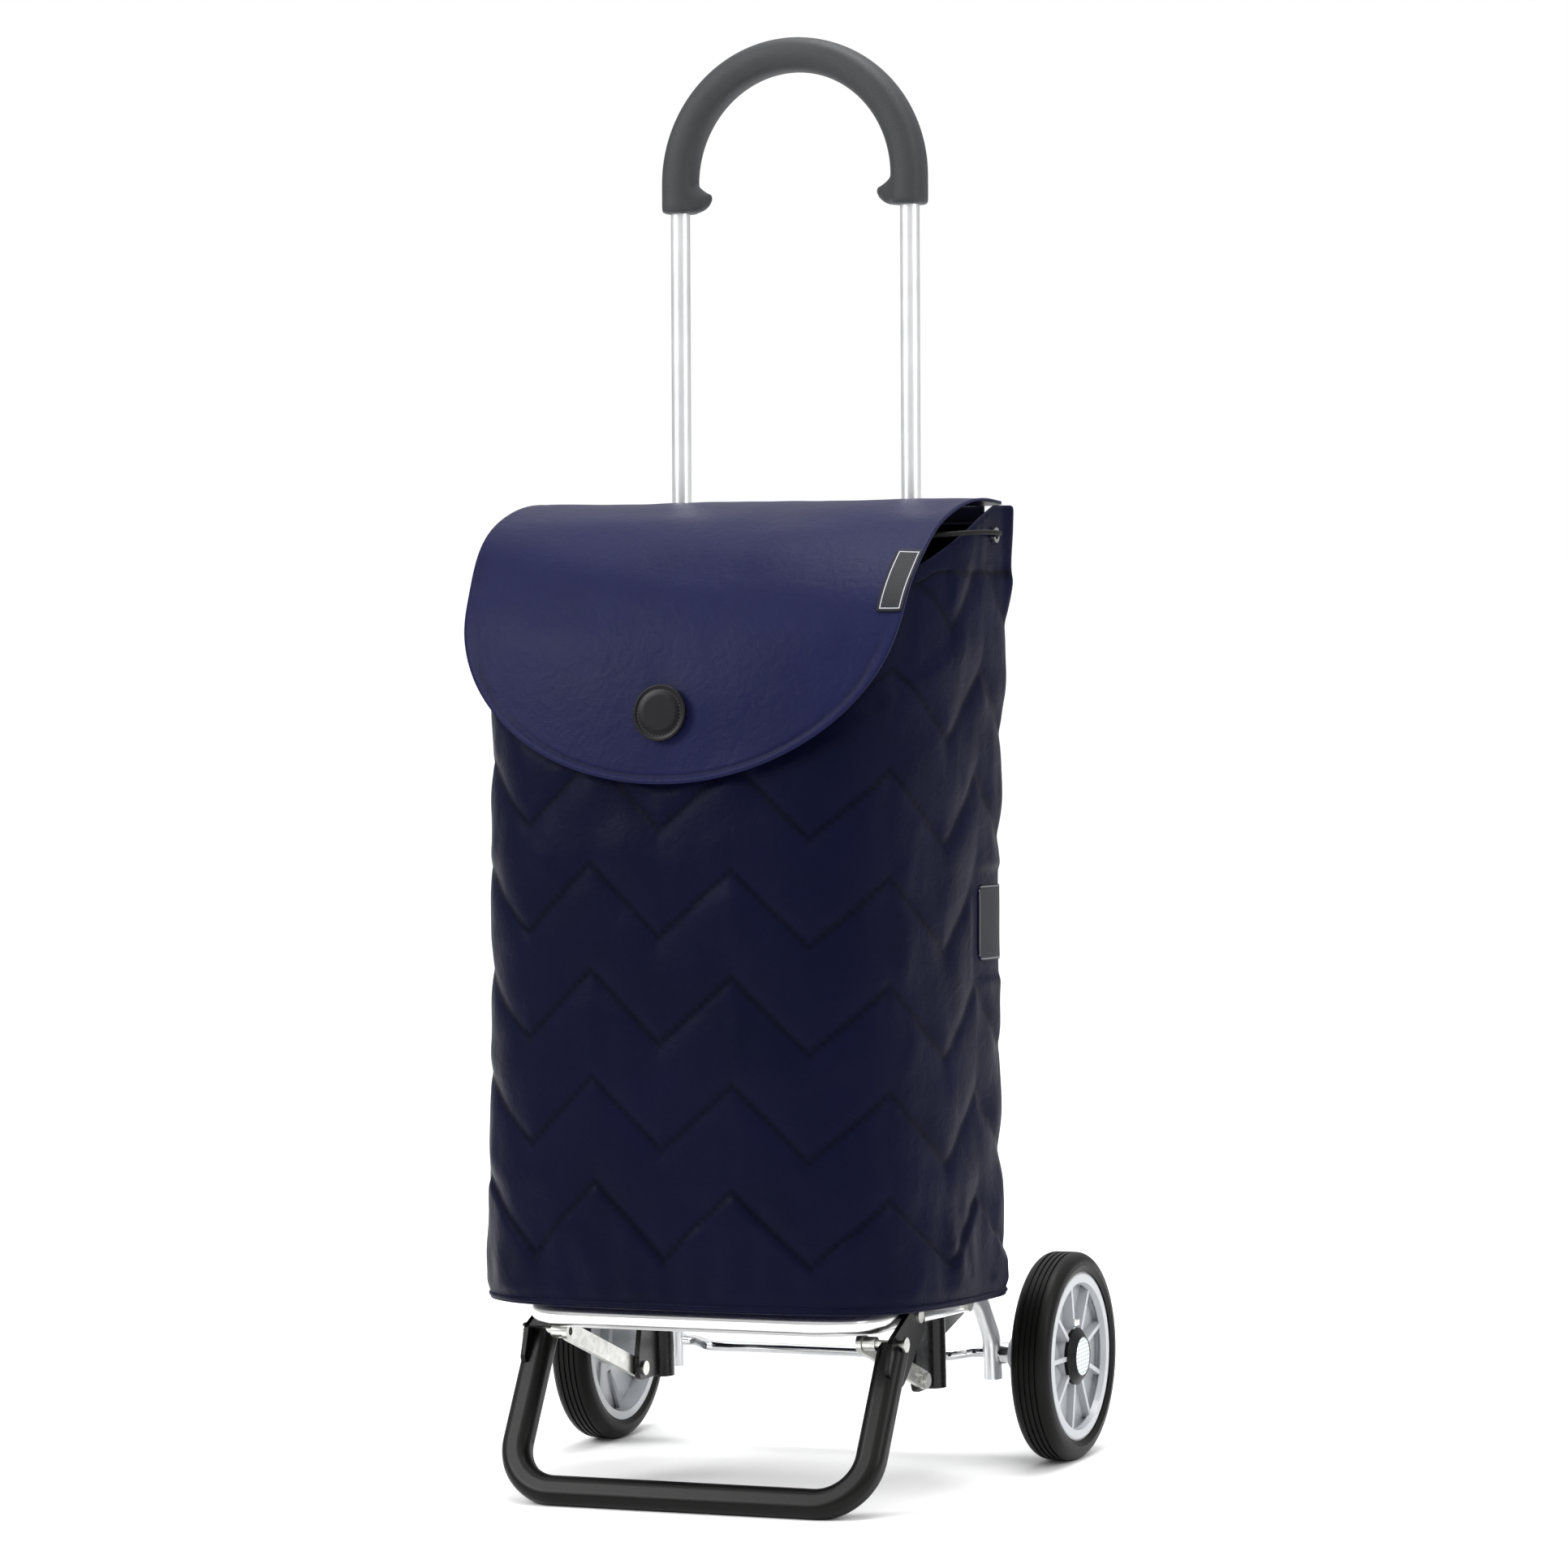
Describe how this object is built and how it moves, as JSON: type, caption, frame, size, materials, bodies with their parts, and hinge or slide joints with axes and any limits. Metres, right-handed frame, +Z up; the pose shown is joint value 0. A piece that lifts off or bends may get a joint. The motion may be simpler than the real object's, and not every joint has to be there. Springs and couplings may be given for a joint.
{
  "type": "shopping trolley",
  "caption": "Two-wheeled shopping trolley with a quilted bag, button flap, arched handle, folding platform and foot hoop",
  "frame": {"origin": "middle of the outline's base on the ground", "axes": "+X to the right seen from the front, -Y to the front, +Z up"},
  "size_m": [0.392, 0.3605, 1.0299],
  "materials": {
    "tube_aluminium": "satin",
    "hoop_aluminium": "polished",
    "grip_foam": "grained soft foam",
    "bracket_black": "satin black",
    "foot_black": "fine textured black",
    "zinc_steel": "zinc plated",
    "chrome_steel": "polished",
    "tyre_rubber": "matte",
    "rim_grey": "silver grey",
    "reflector": "prismatic",
    "board_grey": "matte",
    "cord_black": "braided",
    "black_plastic": "satin",
    "patch_grey": "reflective woven",
    "label_grey": "woven",
    "flap_fabric": "smooth sateen",
    "bag_fabric": "quilted sateen"
  },
  "bodies": {
    "frame": {"axle": "chrome_steel", "axle_spacer_left": "black_plastic", "axle_spacer_right": "black_plastic", "bag_base_board": "board_grey", "bag_body": "bag_fabric", "bag_hanger_left": "black_plastic", "bag_hanger_right": "black_plastic", "bag_magnet": "zinc_steel", "cord_lock_body": "black_plastic", "cross_brace_lower": "tube_aluminium", "cross_brace_upper": "tube_aluminium", "drawcord": "cord_black", "eyelet_left": "chrome_steel", "eyelet_right": "chrome_steel", "flap_hinge_band": "bag_fabric", "frame_bracket_left": "bracket_black", "frame_bracket_right": "bracket_black", "gusset_bolt_left": "zinc_steel", "gusset_bolt_right": "zinc_steel", "handle_grip": "grip_foam", "link_rivet_left": "zinc_steel", "link_rivet_right": "zinc_steel", "platform_pivot_bolt_left": "zinc_steel", "platform_pivot_bolt_right": "zinc_steel", "side_patch_left": "patch_grey", "side_patch_right": "patch_grey", "upright_left": "tube_aluminium", "upright_right": "tube_aluminium"},
    "platform": {"platform_hoop": "hoop_aluminium", "platform_cross_bar": "hoop_aluminium"},
    "foot": {"foot_hoop": "foot_black", "foot_ear_left": "foot_black", "foot_ear_right": "foot_black", "foot_pivot_rivet_left": "zinc_steel", "foot_pivot_rivet_right": "zinc_steel", "foot_link_pin_left": "zinc_steel", "foot_link_pin_right": "zinc_steel"},
    "link_left": {"fold_link_left": "zinc_steel"},
    "link_right": {"fold_link_right": "zinc_steel"},
    "wheel_left": {"tyre_left": "tyre_rubber", "rim_left": "rim_grey", "hub_cap_left": "black_plastic", "reflector_disc_left": "reflector", "wheel_release_clip_left": "chrome_steel"},
    "wheel_right": {"tyre_right": "tyre_rubber", "rim_right": "rim_grey", "hub_cap_right": "black_plastic", "reflector_disc_right": "reflector", "wheel_release_clip_right": "chrome_steel"},
    "flap": {"flap": "flap_fabric", "flap_button": "black_plastic", "side_label": "label_grey"},
    "lock_plunger": {"cord_lock_plunger": "black_plastic"}
  },
  "joints": [
    {"name": "platform_fold", "type": "hinge", "parent": "frame", "child": "platform", "pos_m": [0, 0.03018, 0.1231], "axis": [-1, 0, 0], "range_deg": [0, 68], "deforming": ["bag_body", "bag_base_board"]},
    {"name": "foot_fold", "type": "hinge", "parent": "platform", "child": "foot", "pos_m": [0, -0.07072, 0.128], "axis": [1, 0, 0], "range_deg": [0, 100.6]},
    {"name": "link_swing_left", "type": "hinge", "parent": "frame", "child": "link_left", "pos_m": [-0.1125, 0.00428, 0.07], "axis": [-1, 0, 0], "range_deg": [0, 54.4]},
    {"name": "link_swing_right", "type": "hinge", "parent": "frame", "child": "link_right", "pos_m": [0.1125, 0.00428, 0.07], "axis": [-1, 0, 0], "range_deg": [0, 54.4]},
    {"name": "wheel_spin_left", "type": "hinge", "parent": "frame", "child": "wheel_left", "pos_m": [-0.181, 0.10528, 0.075], "axis": [1, 0, 0], "continuous": true},
    {"name": "wheel_spin_right", "type": "hinge", "parent": "frame", "child": "wheel_right", "pos_m": [0.181, 0.10528, 0.075], "axis": [1, 0, 0], "continuous": true},
    {"name": "flap_open", "type": "hinge", "parent": "frame", "child": "flap", "pos_m": [0, 0.05994, 0.6906], "axis": [-1, 0, 0], "range_deg": [0, 85]},
    {"name": "cord_lock_press", "type": "slide", "parent": "frame", "child": "lock_plunger", "axis": [0, 0.9988, -0.048], "range_m": [0, 0.004], "stiffness_N_per_m": 300, "springref_m": -0.002}
  ],
  "couplings": [
    {"joint": "foot_fold", "follows": "platform_fold", "ratio": 1.476},
    {"joint": "link_swing_left", "follows": "platform_fold", "ratio": 0.797},
    {"joint": "link_swing_right", "follows": "platform_fold", "ratio": 0.797}
  ]
}
